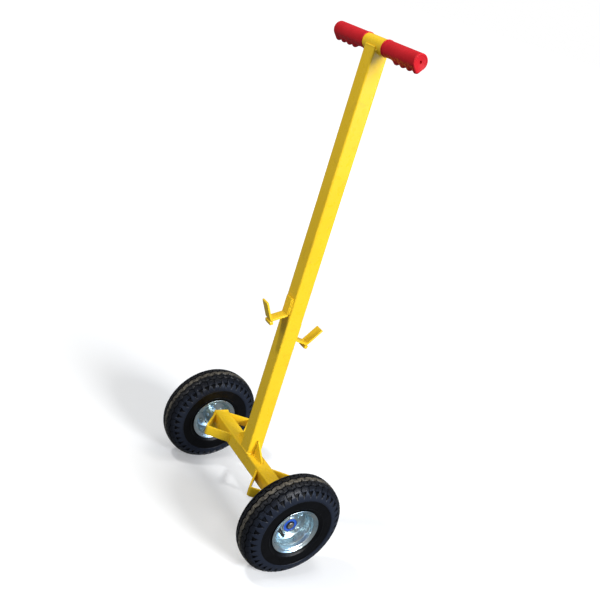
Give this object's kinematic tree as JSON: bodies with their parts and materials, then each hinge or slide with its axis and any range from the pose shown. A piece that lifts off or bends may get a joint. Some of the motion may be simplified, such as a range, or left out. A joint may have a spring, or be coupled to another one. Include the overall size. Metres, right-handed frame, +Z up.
{
  "type": "two-wheel T-handle dolly",
  "caption": "Two-wheeled hand dolly: square pole with a T handle and grips, carrying hooks, a cross tube with V brackets and air-filled wheels on ball bearings.",
  "frame": {"origin": "on the floor, straight below the middle of the axle and of the whole object", "axes": "+Z up along the pole, +X along the axle towards the right wheel, +Y to the back, away from the higher hook"},
  "size_m": [0.548, 0.26, 1.2178],
  "materials": {
    "yellow_paint": "gloss enamel over welded steel",
    "red_grip": "soft moulded vinyl with finger ridges",
    "tyre_rubber": "moulded black tread rubber",
    "black_rubber": "smooth black rubber",
    "zinc_plate": "bright zinc plating",
    "bearing_steel": "ground steel",
    "seal_blue": "blue rubber-faced bearing shield",
    "black_oxide": "black oxide spring steel"
  },
  "bodies": {
    "frame": {"pole_tube": "yellow_paint", "cross_tube": "yellow_paint", "left_end_plate": "yellow_paint", "right_end_plate": "yellow_paint", "left_gusset": "yellow_paint", "right_gusset": "yellow_paint", "front_left_bracket": "yellow_paint", "front_right_bracket": "yellow_paint", "back_left_bracket": "yellow_paint", "back_right_bracket": "yellow_paint", "front_hook": "yellow_paint", "front_hook_bar": "yellow_paint", "back_hook": "yellow_paint", "back_hook_bar": "yellow_paint", "handle_sleeve": "yellow_paint", "handle_bar": "yellow_paint", "left_grip": "red_grip", "right_grip": "red_grip", "pole_base_weld": "yellow_paint", "axle_welds": "yellow_paint", "left_stub_axle": "bearing_steel", "left_bearing_inner_races": "bearing_steel", "left_bearing_spacer": "bearing_steel", "left_axle_washers": "zinc_plate", "left_retaining_ring": "black_oxide", "right_stub_axle": "bearing_steel", "right_bearing_inner_races": "bearing_steel", "right_bearing_spacer": "bearing_steel", "right_axle_washers": "zinc_plate", "right_retaining_ring": "black_oxide"},
    "left_wheel": {"left_tyre": "tyre_rubber", "left_inner_tube": "black_rubber", "left_rim_outer_half": "zinc_plate", "left_rim_inner_half": "zinc_plate", "left_hub": "zinc_plate", "left_bearing_outer_races": "bearing_steel", "left_bearing_balls": "bearing_steel", "left_bearing_seals": "seal_blue", "left_rim_bolts": "zinc_plate", "left_rim_nuts": "zinc_plate", "left_valve_stem": "black_rubber", "left_valve_cap": "black_rubber"},
    "right_wheel": {"right_tyre": "tyre_rubber", "right_inner_tube": "black_rubber", "right_rim_outer_half": "zinc_plate", "right_rim_inner_half": "zinc_plate", "right_hub": "zinc_plate", "right_bearing_outer_races": "bearing_steel", "right_bearing_balls": "bearing_steel", "right_bearing_seals": "seal_blue", "right_rim_bolts": "zinc_plate", "right_rim_nuts": "zinc_plate", "right_valve_stem": "black_rubber", "right_valve_cap": "black_rubber"}
  },
  "joints": [
    {"name": "left_wheel_spin", "type": "hinge", "parent": "frame", "child": "left_wheel", "pos_m": [-0.235, 0, 0.13], "axis": [1, 0, 0], "continuous": true},
    {"name": "right_wheel_spin", "type": "hinge", "parent": "frame", "child": "right_wheel", "pos_m": [0.235, 0, 0.13], "axis": [1, 0, 0], "continuous": true}
  ]
}
